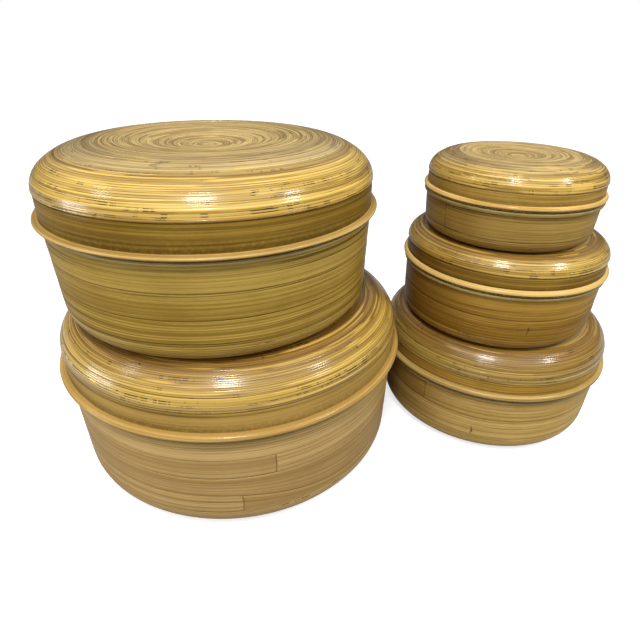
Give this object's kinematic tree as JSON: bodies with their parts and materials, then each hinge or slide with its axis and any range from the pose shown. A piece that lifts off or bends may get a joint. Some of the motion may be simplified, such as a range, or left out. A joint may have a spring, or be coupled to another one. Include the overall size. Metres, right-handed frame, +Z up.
{
  "type": "lidded bamboo box set",
  "caption": "Round lidded boxes of spun bamboo in graded sizes, standing as two stacks; they hold food or dry goods, and each closed box nests in the next.",
  "frame": {"origin": "on the table, at the bottom centre of the whole set's bounding box", "axes": "+X from the large stack to the small stack, +Z up, -Y towards the viewer"},
  "size_m": [0.6517, 0.3904, 0.3459],
  "materials": {
    "crown_coil": "satin lacquer over strips wound on edge",
    "shoulder_coil": "gloss lacquer over strips wound on edge",
    "lid_side_strip": "satin lacquer over a wide bent strip",
    "rim_bead": "gloss lacquer over a half-round strip",
    "neck_strip": "satin lacquer over a thin strip",
    "wall_strip": "satin lacquer over wide bent strips",
    "base_coil": "satin lacquer over strips wound on edge",
    "inner_hoop": "thin lacquer over a bent strip"
  },
  "bodies": {
    "box1_base": {"box1_floor_coil": "base_coil", "box1_corner_coil": "base_coil", "box1_wall_course1": "wall_strip", "box1_wall_course2": "wall_strip", "box1_wall_course3": "wall_strip", "box1_wall_course4": "wall_strip", "box1_neck_ring": "neck_strip", "box1_collar": "inner_hoop"},
    "box1_lid": {"box1_lid_rim_bead": "rim_bead", "box1_lid_band": "lid_side_strip", "box1_lid_shoulder": "shoulder_coil", "box1_lid_crown": "crown_coil"},
    "box2_base": {"box2_floor_coil": "base_coil", "box2_corner_coil": "base_coil", "box2_wall_course1": "wall_strip", "box2_wall_course2": "wall_strip", "box2_wall_course3": "wall_strip", "box2_neck_ring": "neck_strip", "box2_collar": "inner_hoop"},
    "box2_lid": {"box2_lid_rim_bead": "rim_bead", "box2_lid_band": "lid_side_strip", "box2_lid_shoulder": "shoulder_coil", "box2_lid_crown": "crown_coil"},
    "box3_base": {"box3_floor_coil": "base_coil", "box3_corner_coil": "base_coil", "box3_wall_course1": "wall_strip", "box3_wall_course2": "wall_strip", "box3_neck_ring": "neck_strip", "box3_collar": "inner_hoop"},
    "box3_lid": {"box3_lid_rim_bead": "rim_bead", "box3_lid_band": "lid_side_strip", "box3_lid_shoulder": "shoulder_coil", "box3_lid_crown": "crown_coil"},
    "box4_base": {"box4_floor_coil": "base_coil", "box4_corner_coil": "base_coil", "box4_wall_course1": "wall_strip", "box4_wall_course2": "wall_strip", "box4_neck_ring": "neck_strip", "box4_collar": "inner_hoop"},
    "box4_lid": {"box4_lid_rim_bead": "rim_bead", "box4_lid_band": "lid_side_strip", "box4_lid_shoulder": "shoulder_coil", "box4_lid_crown": "crown_coil"},
    "box5_base": {"box5_floor_coil": "base_coil", "box5_corner_coil": "base_coil", "box5_wall_course1": "wall_strip", "box5_neck_ring": "neck_strip", "box5_collar": "inner_hoop"},
    "box5_lid": {"box5_lid_rim_bead": "rim_bead", "box5_lid_band": "lid_side_strip", "box5_lid_shoulder": "shoulder_coil", "box5_lid_crown": "crown_coil"}
  },
  "joints": [
    {"name": "box1_lid_lift", "type": "slide", "parent": "box1_base", "child": "box1_lid", "axis": [0, 0, 1], "range_m": [0, 0.12]},
    {"name": "box2_lift", "type": "slide", "parent": "box1_lid", "child": "box2_base", "axis": [0, 0, 1], "range_m": [0, 0.1]},
    {"name": "box2_lid_lift", "type": "slide", "parent": "box2_base", "child": "box2_lid", "axis": [0, 0, 1], "range_m": [0, 0.12]},
    {"name": "small_stack_slide", "type": "slide", "parent": "box1_base", "child": "box3_base", "axis": [1, 0, 0], "range_m": [0, 0.15]},
    {"name": "box3_lid_lift", "type": "slide", "parent": "box3_base", "child": "box3_lid", "axis": [0, 0, 1], "range_m": [0, 0.1]},
    {"name": "box4_lift", "type": "slide", "parent": "box3_lid", "child": "box4_base", "axis": [0, 0, 1], "range_m": [0, 0.08]},
    {"name": "box4_lid_lift", "type": "slide", "parent": "box4_base", "child": "box4_lid", "axis": [0, 0, 1], "range_m": [0, 0.1]},
    {"name": "box5_lift", "type": "slide", "parent": "box4_lid", "child": "box5_base", "axis": [0, 0, 1], "range_m": [0, 0.08]},
    {"name": "box5_lid_lift", "type": "slide", "parent": "box5_base", "child": "box5_lid", "axis": [0, 0, 1], "range_m": [0, 0.1]}
  ]
}
